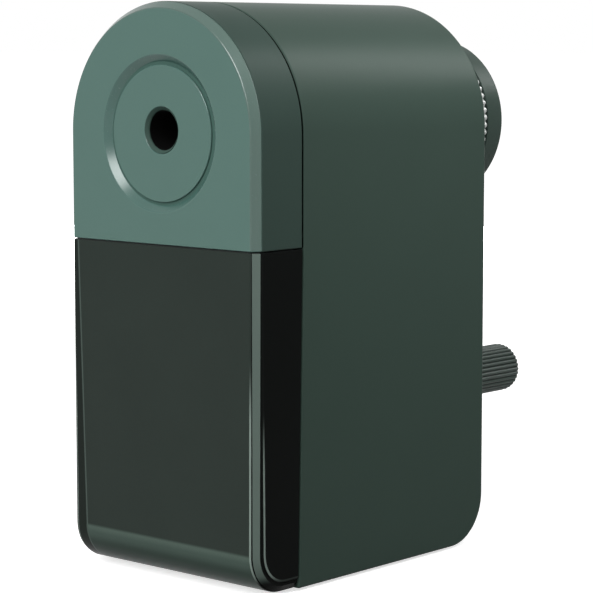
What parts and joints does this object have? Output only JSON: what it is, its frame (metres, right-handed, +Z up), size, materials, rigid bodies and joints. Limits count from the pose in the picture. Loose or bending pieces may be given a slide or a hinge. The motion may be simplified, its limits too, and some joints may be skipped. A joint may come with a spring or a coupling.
{
  "type": "crank pencil sharpener",
  "caption": "Desktop pencil sharpener with a round-topped housing, a front pencil hole, a pull-out shavings drawer and a rear hand crank that drives a helical cutter.",
  "frame": {"origin": "on the table, on the foot pad's underside, below the middle of the housing's width and depth", "axes": "+X to the right seen from the front, +Y from the front face towards the crank, +Z up"},
  "size_m": [0.055, 0.1215, 0.123],
  "materials": {
    "housing_green": "satin moulded plastic, dark green",
    "frame_green": "satin moulded plastic, dark green",
    "fascia_sage": "satin moulded plastic, sage green",
    "guide_black": "satin moulded plastic",
    "smoked_plastic": "polished smoked plastic, nearly opaque",
    "pad_rubber": "matt non-slip sheet",
    "ring_nickel": "knurled, satin pale grey",
    "crank_green": "satin moulded plastic, dark green",
    "bearing_plastic": "natural acetal",
    "gear_plastic": "white acetal",
    "carrier_zinc": "die-cast",
    "cutter_steel": "hardened and ground",
    "shaft_steel": "bright turned steel",
    "screw_steel": "zinc-plated steel"
  },
  "bodies": {
    "housing": {"housing_shell": "housing_green", "front_frame": "frame_green", "front_fascia": "fascia_sage", "frame_screws": "screw_steel", "pencil_guide": "guide_black", "front_bush": "bearing_plastic", "foot_pad": "pad_rubber"},
    "drawer": {"shavings_drawer": "smoked_plastic"},
    "lock_unit": {"lock_ring": "ring_nickel", "ring_gear": "gear_plastic", "rear_bush": "bearing_plastic"},
    "crank": {"cutter_carrier": "carrier_zinc", "cutter_axle": "shaft_steel", "axle_washers": "shaft_steel", "drive_shaft": "shaft_steel", "shaft_pin": "shaft_steel", "thrust_washer": "bearing_plastic", "crank_arm": "crank_green", "crank_screw": "screw_steel", "crank_cap": "crank_green", "knob_washer": "shaft_steel", "knob_pin": "shaft_steel"},
    "cutter": {"helical_cutter": "cutter_steel", "cutter_pinion": "gear_plastic"},
    "knob": {"handle_knob": "crank_green"}
  },
  "joints": [
    {"name": "drawer_slide", "type": "slide", "parent": "housing", "child": "drawer", "axis": [0, -1, 0], "range_m": [0, 0.052]},
    {"name": "lock_twist", "type": "hinge", "parent": "housing", "child": "lock_unit", "pos_m": [0, 0.0385, 0.0962], "axis": [0, 1, 0], "range_deg": [0, 45]},
    {"name": "crank_turn", "type": "hinge", "parent": "lock_unit", "child": "crank", "pos_m": [0, 0.0445, 0.0962], "axis": [0, 1, 0], "continuous": true},
    {"name": "cutter_spin", "type": "hinge", "parent": "crank", "child": "cutter", "pos_m": [0, 0.0514, 0.0962], "axis": [0, 0.9816, -0.1908], "continuous": true},
    {"name": "knob_spin", "type": "hinge", "parent": "crank", "child": "knob", "pos_m": [0, 0.07, 0.0333], "axis": [0, 1, 0], "continuous": true}
  ],
  "couplings": [
    {"joint": "cutter_spin", "follows": "crank_turn", "ratio": -2}
  ]
}
